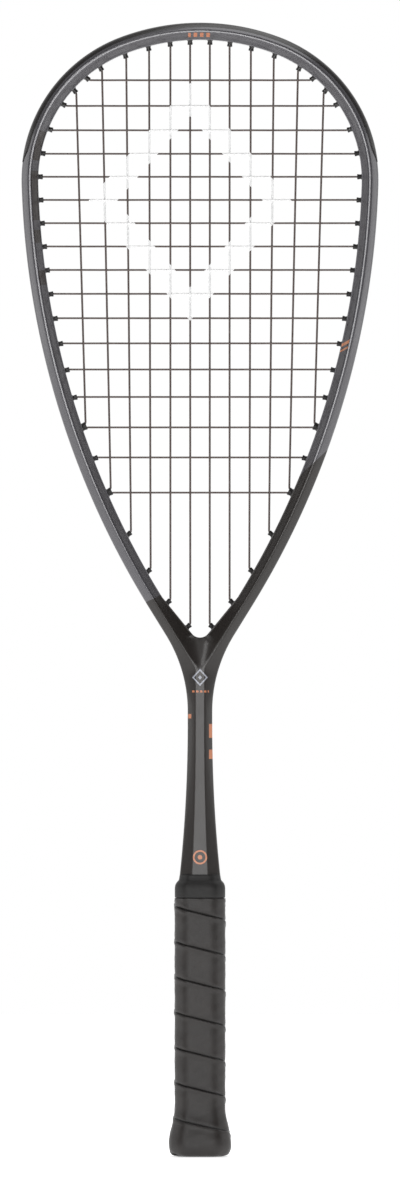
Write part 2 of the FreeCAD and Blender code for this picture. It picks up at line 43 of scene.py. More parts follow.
head = {
    "halfWidth": 0.1081, "crownRadius": 0.1368, "crownAngle": 20.8, "shoulderOverrun": 1.7,
    "legAngle": 31.7, "legStraight": 0.0209, "throatRadius": 0.0878, "throatHeight": 0.26925,
    "halfShaft": 0.00745, "halfBeam": 0.0051, "halfDepth": 0.0095,
    "outerFace": 0.005, "innerFace": 0.004, "forkRadius": 0.0062, "forkLean": 39.2,
    "grooveHalf": 0.0028, "grooveDepth": 0.003, "stringLine": 0.00395,
}
halfBeam = head["halfBeam"]


def around(angle):
    return Vector((math.cos(math.radians(angle)), math.sin(math.radians(angle))))


class Arc:
    # An arc of the outline: outward is 1 round the head and -1 at the throat
    def __init__(self, centre, radius, first, last, outward=1):
        self.centre, self.radius, self.first, self.last = centre, radius, first, last
        self.outward = outward
        self.length = radius * math.radians(abs(last - first))

    def at(self, angle, offset=0.0):  # offset from the middle of the beam
        reach = self.radius + self.outward * (offset - halfBeam)
        return self.centre + around(angle) * reach

    def station(self, share):
        angle = self.first + (self.last - self.first) * share
        return self.at(angle, halfBeam), around(angle) * self.outward

    def covers(self, point):
        angle = math.degrees(math.atan2(point.y - self.centre.y, point.x - self.centre.x))
        low, high = sorted((self.first, self.last))
        return low - 1e-4 <= angle <= high + 1e-4

    def normal(self, point):
        return (point - self.centre).normalized() * self.outward

    def distance(self, point):
        return abs((point - self.centre).length - self.radius)

    def meets(self, start, way, offset):
        radius = self.radius + self.outward * (offset - halfBeam)
        gap = start - self.centre
        along = gap.dot(way)
        room = along * along - gap.dot(gap) + radius * radius
        if room < 0:
            return []
        steps = [-along - math.sqrt(room), -along + math.sqrt(room)]
        return [step for step in steps if step > 0 and self.covers(start + way * step)]


class Straight:
    def __init__(self, start, way, length):
        self.start, self.way, self.length = start, way, length
        self.outward = Vector((-way.y, way.x))

    def at(self, travel, offset=0.0):
        return self.start + self.way * travel + self.outward * (offset - halfBeam)

    def station(self, share):
        return self.at(self.length * share, halfBeam), self.outward

    def covers(self, point):
        return -1e-7 <= (point - self.start).dot(self.way) <= self.length + 1e-7

    def normal(self, point):
        return self.outward

    def distance(self, point):
        return abs((point - self.start).dot(self.outward))

    def meets(self, start, way, offset):
        closing = way.dot(self.outward)
        if abs(closing) < 1e-9:
            return []
        step = (self.at(0, offset) - start).dot(self.outward) / closing
        return [step] if step > 0 and self.covers(start + way * step) else []


def headOutline():
    throat = Arc(Vector((head["halfShaft"] + head["throatRadius"], head["throatHeight"])),
                 head["throatRadius"], 180 - head["legAngle"], 180, -1)
    legWay = around(-90 - head["legAngle"])
    legTop = throat.at(throat.first, halfBeam) - legWay * head["legStraight"]
    leg = Straight(legTop, legWay, head["legStraight"])
    tilt = math.sin(math.radians(head["crownAngle"]))
    shoulderRadius = (head["halfWidth"] - head["crownRadius"] * tilt) / (1 - tilt)
    overrun = around(-head["shoulderOverrun"])
    legSide = around(-head["legAngle"])
    flankTop = head["halfWidth"] - shoulderRadius * (1 - overrun.x)
    flankRadius = (flankTop - legTop.x) / (overrun.x - legSide.x)
    flankCentre = legTop - legSide * flankRadius
    flank = Arc(flankCentre, flankRadius, -head["shoulderOverrun"], -head["legAngle"])
    shoulderCentre = flankCentre + overrun * (flankRadius - shoulderRadius)
    shoulderTop = 90 - head["crownAngle"]
    shoulder = Arc(shoulderCentre, shoulderRadius, shoulderTop, -head["shoulderOverrun"])
    drop = (head["crownRadius"] - shoulderRadius) * math.cos(math.radians(head["crownAngle"]))
    crown = Arc(Vector((0, shoulderCentre.y - drop)), head["crownRadius"], 90, shoulderTop)
    return crown, shoulder, flank, leg, throat


crown, shoulder, flank, leg, throat = headOutline()
flankEnd = flank.at(flank.last, -halfBeam)
forkWay = around(-90 - head["forkLean"])
forkOut = around(-head["forkLean"])
forkRise = (head["forkRadius"] - flankEnd.x * forkOut.x) / -forkOut.y
forkCentre = Vector((0, flankEnd.y + forkRise))
forkTangent = forkCentre + forkOut * head["forkRadius"]
forkWall = Straight(flankEnd + forkOut * 2 * halfBeam, forkWay, (forkTangent - flankEnd).length)
fork = Arc(forkCentre, head["forkRadius"] + 2 * halfBeam, -head["forkLean"], -90)
forkBottom = forkCentre.y - head["forkRadius"]
wholeCrown = Arc(crown.centre, crown.radius, 180 - crown.last, crown.last)
outerWall = [wholeCrown, shoulder, flank, leg, throat]
innerWall = outerWall[:3] + [forkWall, fork]


def strike(wall, start, way, offset):
    steps = [step for stretch in wall for step in stretch.meets(start, way, offset)]
    return start + way * min(steps)


def wallNormal(point):
    near = [stretch for stretch in outerWall if stretch.covers(point)]
    return min(near, key=lambda stretch: stretch.distance(point)).normal(point)


# Mesh helpers

def sweepRows(bm, rows, closed=False):
    # Extrudes a row of points through all the others and returns the first and last rows
    row = [bm.verts.new(point) for point in rows[0]]
    first = row
    ring = list(zip(row, row[1:] + row[:1])) if closed else list(zip(row, row[1:]))
    edges = [bm.edges.new(pair) for pair in ring]
    for points in rows[1:]:
        made = bmesh.ops.extrude_edge_only(bm, edges=edges)["geom"]
        fresh = {item for item in made if isinstance(item, bmesh.types.BMVert)}
        row = [next(edge.other_vert(old) for edge in old.link_edges if edge.other_vert(old) in fresh)
               for old in row]
        for vert, point in zip(row, points):
            vert.co = point
        pairs = zip(row, row[1:] + row[:1]) if closed else zip(row, row[1:])
        edges = [bm.edges.get(pair) for pair in pairs]
    return first, row


def finishPiece(bm, name, body, material, node, crease):
    bmesh.ops.remove_doubles(bm, verts=bm.verts, dist=2e-6)
    bmesh.ops.dissolve_degenerate(bm, edges=bm.edges, dist=1e-6)
    bmesh.ops.recalc_face_normals(bm, faces=bm.faces)
    mesh = bpy.data.meshes.new(name)
    bm.to_mesh(mesh)
    bm.free()
    mesh.shade_smooth()
    mesh.set_sharp_from_angle(angle=math.radians(crease))
    piece = bpy.data.objects.new(name, mesh)
    bpy.context.collection.objects.link(piece)
    piece.data.materials.append(material)
    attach(piece, body)
    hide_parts(node)
    print("made", name, len(mesh.polygons))


def mirrorAll(bm, axis):
    bmesh.ops.mirror(bm, geom=bm.verts[:] + bm.edges[:] + bm.faces[:], matrix=Matrix(),
                     merge_dist=2e-6, axis=axis)


def softCorner(before, corner, after, reach, count):
    # Points of a soft corner: reach is how far it starts along each side
    first = corner + (before - corner).normalized() * min(reach, (before - corner).length * 0.49)
    last = corner + (after - corner).normalized() * min(reach, (after - corner).length * 0.49)
    points = []
    for index in range(count + 1):
        share = index / count
        points.append(first * (1 - share) ** 2 + corner * 2 * share * (1 - share) + last * share ** 2)
    return points


# Materials

class Value:
    # A shader value that can be worked with like a number
    def __init__(self, finish, socket):
        self.finish, self.socket = finish, socket

    def math(self, operation, *others):
        made = self.finish.tree.nodes.new("ShaderNodeMath")
        made.operation = operation
        for index, value in enumerate((self,) + others):
            self.finish.feed(made.inputs[index], value)
        return Value(self.finish, made.outputs[0])

    def __add__(self, other): return self.math("ADD", other)
    def __radd__(self, other): return self.math("ADD", other)
    def __mul__(self, other): return self.math("MULTIPLY", other)
    def __rmul__(self, other): return self.math("MULTIPLY", other)
    def __sub__(self, other): return self.math("SUBTRACT", other)
    def __rsub__(self, other): return self.math("MULTIPLY", -1.0).math("ADD", other)
    def __truediv__(self, other): return self.math("DIVIDE", other)
    def __gt__(self, other): return self.math("GREATER_THAN", other)
    def __lt__(self, other): return self.math("LESS_THAN", other)
    def __abs__(self): return self.math("ABSOLUTE")

    def step(self, low, high):
        # 0 below low, 1 above high, smooth between
        made = self.finish.node("ShaderNodeMapRange", {"interpolation_type": "SMOOTHSTEP"},
                                {"Value": self, "From Min": low, "From Max": high})
        return Value(self.finish, made.outputs[0])


class Finish:
    def __init__(self, name, **fixed):
        self.material = bpy.data.materials.new(name)
        self.material.use_nodes = True
        self.tree = self.material.node_tree
        self.shader = self.tree.nodes["Principled BSDF"]
        self.use(**fixed)

    def feed(self, socket, value):
        if isinstance(value, Value):
            self.tree.links.new(value.socket, socket)
        elif isinstance(value, bpy.types.NodeSocket):
            self.tree.links.new(value, socket)
        else:
            socket.default_value = value

    def node(self, kind, settings=None, values=None):
        made = self.tree.nodes.new(kind)
        for key, value in (settings or {}).items():
            setattr(made, key, value)
        for key, value in (values or {}).items():
            self.feed(made.inputs[key], value)
        return made

    def place(self):
        split = self.node("ShaderNodeSeparateXYZ", {}, {"Vector": self.coords()})
        return [Value(self, split.outputs[index]) for index in range(3)]

    def coords(self):
        return self.node("ShaderNodeTexCoord").outputs["Object"]

    def stretched(self, scale):
        made = self.node("ShaderNodeMapping", {}, {"Vector": self.coords(), "Scale": scale})
        return made.outputs[0]

    def attribute(self, name):
        return Value(self, self.node("ShaderNodeAttribute", {"attribute_name": name}).outputs["Fac"])

    def noise(self, scale, detail=3.0, roughness=0.5, vector=None):
        made = self.node("ShaderNodeTexNoise", {}, {"Scale": scale, "Detail": detail,
                         "Roughness": roughness, "Vector": vector or self.coords()})
        return Value(self, made.outputs["Fac"])

    def cells(self, scale):
        made = self.node("ShaderNodeTexVoronoi", {}, {"Scale": scale, "Vector": self.coords()})
        return Value(self, made.outputs["Distance"])

    def blend(self, factor, first, second):
        made = self.node("ShaderNodeMix", {"data_type": "RGBA"})
        for index, value in ((0, factor), (6, first), (7, second)):
            self.feed(made.inputs[index], value)
        return made.outputs[2]

    def bump(self, height, strength, distance):
        made = self.node("ShaderNodeBump", {}, {"Height": height, "Strength": strength,
                         "Distance": distance})
        self.feed(self.shader.inputs["Normal"], made.outputs[0])

    def use(self, **values):
        for key, value in values.items():
            words = "".join(" " + letter if letter.isupper() else letter for letter in key)
            name = (words[:1].upper() + words[1:]).replace("Ior", "IOR")
            self.feed(self.shader.inputs[name], value)


def colour(red, green, blue):
    # From the usual 0 to 255 screen scale to the renderer's
    result = []
    for part in (red / 255, green / 255, blue / 255):
        result.append(part / 12.92 if part < 0.04045 else ((part + 0.055) / 1.055) ** 2.4)
    return result + [1.0]


paint = {
    "leftEdge": (0.3353, -0.0332, 0.48), "rightEdge": (0.4280, 0.0774, 0.93), "edgeBlur": 0.0002,
    "blocks": ((0.128, 0.148), (0.155, 0.186), (0.192, 0.2), (0.217, 0.226)),
    "slashes": ((0.2590, 0.2612), (0.2632, 0.2645)), "slashSlant": 0.9,
    "diamondHeight": 0.2900, "dashHeight": 0.2815, "ringHeight": 0.1812,
    "bars": ((0.0066, 0.0011, 0.2576, 0.0042), (0.0066, 0.0011, 0.2435, 0.0028),
             (-0.0062, 0.0009, 0.2665, 0.0013)),  # middle and half width, middle and half height
}


def paintEdge(x, z, height, across, slope):
    # 0 below a slanting line and 1 above it
    return (z - height - (x - across) * slope).step(-paint["edgeBlur"], paint["edgeBlur"])


def stripes(value, ranges):
    # 1 within any of the ranges
    total = None
    for low, high in ranges:
        band = (value > low) * (value < high)
        total = band if total is None else total + band
    return total


def framePaint():
    finish = Finish("framePaint", coatRoughness=0.14)
    x, y, z = finish.place()
    along = finish.attribute("along")
    across = finish.attribute("across")
    # The grey head ends in a slanting line, lower on the left than on the right
    isLeft = x < 0.0
    headArea = (isLeft * paintEdge(x, z, *paint["leftEdge"])
                + (1.0 - isLeft) * paintEdge(x, z, *paint["rightEdge"]))
    flakes = finish.noise(2600.0, 2.0)
    drift = finish.noise(14.0, 2.0)
    grey = finish.blend(flakes * 0.5 + drift * 0.3, colour(66, 65, 69), colour(98, 96, 101))
    dark = finish.blend(drift, colour(28, 24, 22), colour(40, 35, 32))
    coat = finish.blend(headArea, dark, grey)
    front = y < 0.0
    # Plain blocks and slashes printed on the inner bevels of the head
    innerBevel = (across < -0.0008) * (across > -0.0047)
    blocks = isLeft * innerBevel * headArea * stripes(along, paint["blocks"])
    coat = finish.blend(blocks, coat, colour(52, 46, 44))
    slant = along + across * paint["slashSlant"]
    slashes = (1.0 - isLeft) * innerBevel * front * stripes(slant, paint["slashes"])
    coat = finish.blend(slashes, coat, colour(205, 135, 95))
    # A silver diamond and a row of dashes on the throat, a ring above the handle
    diamond = abs(x) * 1.1 + abs(z - paint["diamondHeight"])
    emblem = front * stripes(diamond, ((-1.0, 0.0013), (0.0040, 0.0052)))
    coat = finish.blend(emblem, coat, colour(165, 168, 178))
    dashes = front * (abs(x) < 0.0054) * (abs(z - paint["dashHeight"]) < 0.0006)
    copper = dashes * ((x * 420.0 + 10.0).math("FRACT") < 0.62)
    fromRing = z - paint["ringHeight"]
    ring = (x * x + fromRing * fromRing).math("SQRT")
    copper = copper + front * stripes(ring, ((-1.0, 0.0014), (0.0033, 0.0043)))
    for middle, halfWidth, height, halfHeight in paint["bars"]:
        copper = copper + front * (abs(x - middle) < halfWidth) * (abs(z - height) < halfHeight)
    crownMark = front * (abs(x) < 0.0072) * (abs(across + 0.0022) < 0.0012) * (z > 0.6)
    copper = copper + crownMark * ((x * 260.0 + 10.0).math("FRACT") < 0.55)
    coat = finish.blend(copper.math("MINIMUM", 1.0), coat, colour(196, 122, 84))
    scuffs = finish.noise(90.0, 4.0, 0.7)
    finish.use(baseColor=coat, roughness=0.34 + scuffs * 0.14, metallic=headArea * 0.4 + 0.05,
               coatWeight=headArea * 0.75 + 0.2)
    finish.bump(finish.noise(1400.0, 2.0), 0.06, 0.0002)
    return finish.material


def mouldedPlastic(name, tint, roughness, scale):
    finish = Finish(name)
    wear = finish.noise(scale, 4.0, 0.6)
    finish.use(baseColor=finish.blend(wear, colour(*tint), colour(*[part + 14 for part in tint])),
               roughness=wear * 0.2 + roughness)
    finish.bump(finish.noise(scale * 6, 2.0), 0.12, 0.0003)
    return finish.material


def bumperPlastic():
    finish = Finish("bumperPlastic", coatWeight=0.35, coatRoughness=0.2)
    wear = finish.noise(60.0, 5.0, 0.7)
    finish.use(baseColor=finish.blend(wear, colour(24, 22, 22), colour(40, 37, 36)),
               roughness=wear * 0.2 + 0.22)
    finish.bump(finish.noise(900.0, 3.0), 0.1, 0.0002)
    return finish.material


def stringGut(name):
    finish = Finish(name, coatWeight=0.2)
    x, y, z = finish.place()
    fibre = finish.noise(500.0, 3.0, 0.6)
    base = finish.blend(fibre, colour(66, 55, 52), colour(104, 90, 84))
    # A plain white diamond band inked on the upper string bed
    diamond = abs(x + 0.006) / 0.062 + abs(z - 0.578) / 0.072
    ink = (diamond < 1.0) * (diamond > 0.72)
    finish.use(baseColor=finish.blend(ink, base, colour(250, 250, 250)), roughness=fibre * 0.2 + 0.3)
    finish.bump(fibre, 0.2, 0.0002)
    return finish.material


def gripLeather():
    finish = Finish("gripLeather", coatWeight=0.15, coatRoughness=0.35)
    grain = finish.noise(1500.0, 3.0, 0.6)
    patches = finish.noise(55.0, 4.0, 0.6)
    pores = finish.cells(1100.0)
    height = grain * 0.6 + pores.step(0.0, 0.35) * 0.6 + patches * 0.8
    # Painted shade: the leather goes to near black down in the crevices between the turns of the
    # wrap, darker the deeper in
    crevice = finish.attribute("crevice")
    tint = finish.blend(patches, colour(20, 17, 16), colour(42, 36, 33))
    tint = finish.blend(crevice, tint, colour(6, 5, 5))
    finish.use(baseColor=tint, roughness=grain * 0.25 + 0.36)
    finish.bump(height, 0.35, 0.0004)
    return finish.material


def softRubber():
    finish = Finish("collarRubber")
    grain = finish.noise(800.0, 3.0, 0.6)
    finish.use(baseColor=finish.blend(grain, colour(14, 13, 13), colour(26, 24, 23)),
               roughness=grain * 0.2 + 0.45)
    finish.bump(grain, 0.2, 0.0003)
    return finish.material


def wovenTape():
    finish = Finish("tapeCloth")
    x, y, z = finish.place()
    weave = (z * 9000.0).math("SINE") * 0.5 + ((x + y) * 9000.0).math("SINE") * 0.5
    finish.use(baseColor=finish.blend(weave * 0.5 + 0.5, colour(22, 20, 20), colour(42, 38, 37)),
               roughness=weave * 0.08 + 0.55)
    finish.bump(weave, 0.3, 0.0002)
    return finish.material


def palletFoam():
    finish = Finish("palletFoam")
    bubbles = finish.cells(900.0)
    finish.use(baseColor=finish.blend(bubbles, colour(120, 112, 100), colour(168, 160, 146)),
               roughness=bubbles * 0.2 + 0.7)
    finish.bump(bubbles, 0.4, 0.0004)
    return finish.material


def stapleSteel():
    finish = Finish("stapleSteel", metallic=1.0)
    brush = finish.noise(900.0, 3.0, 0.6, finish.stretched((1.0, 1.0, 12.0)))
    finish.use(baseColor=finish.blend(brush, colour(150, 150, 152), colour(190, 190, 192)),
               roughness=brush * 0.2 + 0.25)
    return finish.material


print("materials ready")


# The frame: a bevelled beam round the head that turns into the throat and the shaft

shell = {
    "crest": 0.001, "legCrest": 0.0006, "crestRound": 0.0006, "cornerRound": 0.0012,
    "webDepth": 0.0060, "webFall": 1.2, "webBlend": 0.0014, "forkEdge": 0.0036,
    "innerCount": 12, "innerRound": 0.0008, "legStart": 0.30, "legBlend": 0.12, "grooveEnd": 14.0,
    "grooveFade": 4.0, "shaftFoot": 0.157, "shaftCount": 24, "throatFacet": 0.0024,
    "shaftFacet": 0.00495, "shaftBase": 0.0133, "shaftBaseDepth": 0.01, "shaftStraight": 0.007,
    "forkCount": 30, "hidden": 0.0001,
}
handleTop = 0.161
shaftLength = head["throatHeight"] - handleTop
legWay = leg.way
crestStart = throat.at(throat.first, 0.0)
crestMeet = crestStart.y - (crestStart.x - shell["throatFacet"]) * legWay.y / legWay.x


def webHeight(z):
    # Half thickness at the middle of the fork: a slope from its edge to where the crests meet
    if z >= forkBottom:
        return shell["webDepth"] - (z - forkBottom) * shell["webFall"]
    share = min(1.0, (forkBottom - z) / (forkBottom - crestMeet))
    return shell["webDepth"] + (head["halfDepth"] - shell["webDepth"]) * share


def crestAcross(outer, normal):
    # The crests of the legs run straight on until they stand side by side on the shaft
    side = Vector((-legWay.y, legWay.x))
    reach = (outer - crestStart).dot(side) / normal.dot(side)
    if (outer - normal * reach).x < shell["throatFacet"]:
        reach = (outer.x - shell["throatFacet"]) / normal.x
    return halfBeam - reach


def innerReach(outer, normal, isHead):
    # How far the beam goes in from its outer edge, and whether it ends at the middle line
    if isHead:
        return 2 * halfBeam, False
    start = outer - normal * shell["hidden"]
    steps = [step for wall in (forkWall, fork) for step in wall.meets(start, -normal, -halfBeam)]
    toMiddle = start.x / normal.x
    if steps and min(steps) <= toMiddle + 1e-6:
        return min(steps) + shell["hidden"], False
    return toMiddle + shell["hidden"], True


def beamRow(outer, normal, along, reach, atMiddle, crest, crestHalf, groove, drop, web):
    # Half a cross section, from the outer middle over the crest to the inner middle
    inner = halfBeam - reach
    ridge = [crest + Vector((crestHalf, 0)), crest - Vector((crestHalf, 0))]
    beyond = ridge[1] + Vector((-0.004, -0.004 * drop))
    corners = [Vector((halfBeam - groove, 0)), Vector((halfBeam - groove, head["grooveHalf"])),
               Vector((halfBeam, head["grooveHalf"])), Vector((halfBeam, head["outerFace"])),
               ridge[0], ridge[1], beyond]
    softness = [(0.0003, 2), (0.00035, 2), (shell["cornerRound"], 4), (shell["crestRound"], 3),
                (shell["crestRound"], 3)]
    points = [corners[0]]
    for index, (reachIn, count) in enumerate(softness):
        points += softCorner(corners[index], corners[index + 1], corners[index + 2], reachIn, count)
    start = points[-1]
    end = inner + (0.0 if atMiddle else shell["innerRound"])
    count = shell["innerCount"]
    for index in range(1, count + 1):
        across = start.x + (end - start.x) * index / count
        points.append(Vector((across, start.y - drop * (start.x - across))))
    placed = []
    for point in points:
        depth = point.y
        if point.x < crest.x:
            height = outer.y - normal.y * (halfBeam - point.x)
            floor = web(height)
            gap = abs(depth - floor)
            blend = max(0.0, shell["webBlend"] - gap) ** 2 / (4 * shell["webBlend"])
            depth = min(max(depth, floor) + blend, crest.y)
        placed.append(Vector((point.x, depth)))
    last = placed[-1]
    if atMiddle:
        placed += [Vector((inner, last.y))] * 5
    else:
        low = Vector((inner, last.y))
        placed += softCorner(last, low, Vector((inner, 0)), shell["innerRound"], 3)[1:]
        placed += [Vector((inner, last.y * 0.4)), Vector((inner, 0))]
    row = []
    for point in placed:
        spot = outer - normal * (halfBeam - point.x)
        row.append((Vector((max(spot.x, 0.0), -point.y, spot.y)), along, point.x))
    return row


def headStations():
    # Points on the outer edge with the outward normal, the stretch and the length so far
    forkHit = 180 - math.degrees(math.atan2(forkBottom - head["throatHeight"], throat.centre.x))
    upper = Arc(throat.centre, throat.radius, throat.first, forkHit, -1)
    lower = Arc(throat.centre, throat.radius, forkHit, 180, -1)
    travelled = 0.0
    result = []
    stretches = [(crown, 22), (shoulder, 36), (flank, 92), (leg, 12), (upper, shell["forkCount"]),
                 (lower, 18)]
    for stretch, count in stretches:
        steps = range(count + 1) if stretch is crown else range(1, count + 1)
        for index in steps:
            outer, normal = stretch.station(index / count)
            result.append((outer, normal, stretch, travelled + stretch.length * index / count))
        travelled += stretch.length
    return result, travelled


def makeFrameShell(material):
    stations, travelled = headStations()
    rows = []
    forkDrop = 0.5
    for outer, normal, stretch, along in stations:
        isHead = stretch in (crown, shoulder, flank)
        reach, atMiddle = innerReach(outer, normal, isHead)
        legShare = min(1.0, max(0.0, (along - shell["legStart"]) / shell["legBlend"]))
        crestHalf = shell["crest"] * (1 - legShare) + shell["legCrest"] * legShare
        groove = head["grooveDepth"]
        crest = Vector((0.0, head["halfDepth"]))
        if isinstance(stretch, Arc) and stretch.outward < 0:
            turned = math.degrees(math.acos(max(-1.0, min(1.0, normal.x))))
            left = (turned - (head["legAngle"] - shell["grooveEnd"])) / shell["grooveFade"]
            groove *= min(1.0, max(0.0, left))
            crest.x = crestAcross(outer, normal)
        if not atMiddle:
            widening = min(1.0, (reach - 2 * halfBeam) / 0.004)
            edge = head["innerFace"] + (shell["forkEdge"] - head["innerFace"]) * widening
            forkDrop = (head["halfDepth"] - edge) / (crest.x - crestHalf - halfBeam + reach)
        rows.append(beamRow(outer, normal, along, reach, atMiddle, crest, crestHalf, groove,
                            forkDrop, webHeight))
    taper = shaftLength - shell["shaftStraight"]
    count = shell["shaftCount"]
    for index in range(1, count + 1):
        z = head["throatHeight"] + (shell["shaftFoot"] - head["throatHeight"]) * index / count
        share = max(0.0, (handleTop + taper - z) / taper)
        halfWidth = head["halfShaft"] + (shell["shaftBase"] - head["halfShaft"]) * share ** 2
        grow = (halfWidth - head["halfShaft"]) / (shell["shaftBase"] - head["halfShaft"])
        depth = head["halfDepth"] + (shell["shaftBaseDepth"] - head["halfDepth"]) * grow
        facet = shell["throatFacet"] + (shell["shaftFacet"] - shell["throatFacet"]) * grow
        crest = Vector((facet - halfWidth + halfBeam, depth))
        travel = travelled + head["throatHeight"] - z
        rows.append(beamRow(Vector((halfWidth, z)), Vector((1, 0)), travel, halfWidth, True, crest,
                            shell["legCrest"], 0.0, forkDrop, lambda height: depth))
    bm = bmesh.new()
    alongLayer = bm.verts.layers.float.new("along")
    acrossLayer = bm.verts.layers.float.new("across")
    sweepRows(bm, [[point for point, along, across in row] for row in rows])
    bm.verts.ensure_lookup_table()
    for vert, (point, along, across) in zip(bm.verts, [item for row in rows for item in row]):
        vert[alongLayer] = along
        vert[acrossLayer] = across
    bmesh.ops.remove_doubles(bm, verts=bm.verts, dist=2e-6)
    flat = [face for face in bm.faces if all(abs(vert.co.x) < 1e-6 for vert in face.verts)
            and face.calc_center_median().z < forkBottom + 0.001]
    bmesh.ops.delete(bm, geom=flat, context="FACES")
    mirrorAll(bm, "Y")
    mirrorAll(bm, "X")
    foot = [edge for edge in bm.edges if len(edge.link_faces) == 1]
    bmesh.ops.contextual_create(bm, geom=foot)
    finishPiece(bm, "frameShell", "racket", material, "frame", 28)


makeFrameShell(framePaint())


# String holes

holes = {
    "mainPairs": 6, "crossCount": 17, "edgeMainGap": 0.0213, "firstCrossGap": 0.0226,
    "lastCrossGap": 0.0876, "shared": (14, 16), "lean": 0.25, "reach": 0.0027, "offset": 0.00075,
    "barrel": 0.0015, "bore": 0.00105, "sharedBarrel": 0.0023, "sharedBore": 0.0017,
    "spread": 0.0012,
    "mainStep": 0.5, "mainGrowth": 0.08, "throatStep": 0.66, "crossLow": 0.48, "crossTop": 0.15,
}


class Hole:
    def __init__(self, entry, stringWay, depth, shared=False):
        self.way = (wallNormal(entry) + stringWay * holes["lean"]).normalized()
        self.entry = entry
        self.depth = depth
        self.shared = shared
        self.mouth = entry - self.way * holes["reach"]
        self.corner = strike(outerWall, entry, self.way, head["stringLine"])

    def spot(self, point, side, depth, spread=0.0):
        # Both strings of a shared hole leave it a little apart, along the wall
        if self.shared:
            point = point + Vector((-self.way.y, self.way.x)) * spread
        return Vector((point.x * side, depth, point.y))


def fan(outermost, count, first, growth):
    steps = [first] + [1 + growth * index for index in range(count - 1)]
    unit = outermost / sum(steps)
    return [unit * sum(steps[:index + 1]) for index in range(count)]


def crossHeights():
    top = crown.centre.y + crown.radius - 2 * halfBeam - holes["firstCrossGap"]
    bottom = forkBottom + holes["lastCrossGap"]
    places = [index / (holes["crossCount"] - 2) for index in range(holes["crossCount"] - 1)]
    steps = [1 + holes["crossLow"] * place ** 4 + holes["crossTop"] * (1 - place) ** 8
             for place in places]
    unit = (top - bottom) / sum(steps)
    return [top - unit * sum(steps[:index]) for index in range(holes["crossCount"])]


def stringHoles():
    right, up = Vector((1, 0)), Vector((0, 1))
    crosses = []
    for row, height in enumerate(crossHeights()):
        entry = strike(innerWall, Vector((0, height)), right, -halfBeam)
        if row in holes["shared"]:
            crosses.append(Hole(entry, (right - up) * 0.5, 0.0, True))
        else:
            crosses.append(Hole(entry, right, -holes["offset"]))
    tops = []
    widest = head["halfWidth"] - 2 * halfBeam - holes["edgeMainGap"]
    for across in fan(widest, holes["mainPairs"], holes["mainStep"], holes["mainGrowth"]):
        entry = strike(innerWall[:2], Vector((across, flank.centre.y)), up, -halfBeam)
        tops.append(Hole(entry, up, holes["offset"]))
    shared = [crosses[row] for row in reversed(holes["shared"])]
    inner = holes["mainPairs"] - len(shared)
    reach = shared[0].entry.x
    bottoms = []
    for across in fan(reach, inner + 1, holes["throatStep"], 0.0)[:inner]:
        entry = strike(innerWall, Vector((across, flank.centre.y)), -up, -halfBeam)
        bottoms.append(Hole(entry, -up, holes["offset"]))
    return tops, bottoms + shared, crosses


tops, bottoms, crosses = stringHoles()


def addBarrel(bm, hole, side):
    # A flared sleeve with a rounded mouth, spun and set on the hole's axis
    outer = holes["sharedBarrel"] if hole.shared else holes["barrel"]
    bore = holes["sharedBore"] if hole.shared else holes["bore"]
    rise = holes["reach"]
    profile = [(bore, -0.004), (bore, rise - 0.0003), (bore + 0.0002, rise),
               (outer - 0.0001, rise), (outer + 0.00015, rise - 0.0003),
               (outer + 0.0001, rise - 0.0007), (outer - 0.0001, 0.0006),
               (outer + 0.0003, 0.0), (outer + 0.0003, -0.002)]
    chain = [bm.verts.new((radius, 0, height)) for radius, height in profile]
    edges = [bm.edges.new(pair) for pair in zip(chain, chain[1:])]
    before = set(bm.verts)
    bmesh.ops.spin(bm, geom=chain + edges, cent=(0, 0, 0), axis=(0, 0, 1), dvec=(0, 0, 0),
                   angle=2 * math.pi, steps=14, use_merge=True, use_normal_flip=False)
    made = chain + [vert for vert in bm.verts if vert not in before]
    way = Vector((-hole.way.x * side, 0, -hole.way.y))
    turn = Vector((0, 0, 1)).rotation_difference(way).to_matrix().to_4x4()
    spot = hole.spot(hole.entry, side, hole.depth)
    bmesh.ops.transform(bm, matrix=Matrix.Translation(spot) @ turn, verts=made)


# Bumper and grommet strips

bumper = {
    "band": 0.0039, "proud": 0.0002, "rimRound": 0.0022, "narrowFrom": 14.2, "tipAt": 6.9,
    "baseEnd": 16.63, "floor": 0.0031, "stripSplit": 25.32, "stripGap": 0.5, "runOut": 10.0,
    "crownCount": 22, "shoulderCount": 44, "crestHalf": 0.0004, "narrowest": 0.94,
}


baseLimit = shoulder.at(bumper["baseEnd"], -halfBeam).y


def bevelHeight(across):
    slope = (head["halfDepth"] - head["outerFace"]) / (halfBeam - bumper["crestHalf"])
    return head["halfDepth"] - slope * (across - bumper["crestHalf"])


def bumperRow(outer, normal, narrowing):
    edge = halfBeam + bumper["proud"]
    inner = halfBeam - bumper["band"] * (1 - narrowing)
    lift = bumper["proud"] + 0.0001
    floor = bumper["floor"]
    wall = head["grooveHalf"] - 0.0002
    corners = [(Vector((floor, 0)), 0, 0), (Vector((floor, wall)), 0.0003, 2),
               (Vector((edge, wall)), 0.0005, 3),
               (Vector((edge, head["outerFace"] + lift)), bumper["rimRound"], 7),
               (Vector((inner, bevelHeight(inner) + lift)), 0.0003, 3),
               (Vector((inner, bevelHeight(inner) - 0.0012)), 0.0001, 1),
               (Vector((0.0012, 0.0015)), 0.0001, 1), (Vector((0.0012, 0)), 0, 0)]
    points = [corners[0][0]]
    for index in range(1, len(corners) - 1):
        corner, reach, count = corners[index]
        points += softCorner(corners[index - 1][0], corner, corners[index + 1][0], reach, count)
    points.append(corners[-1][0])
    row = []
    for point in points:
        spot = outer - normal * (halfBeam - point.x)
        row.append(Vector((max(spot.x, 0.0), -point.y, spot.y)))
    return row


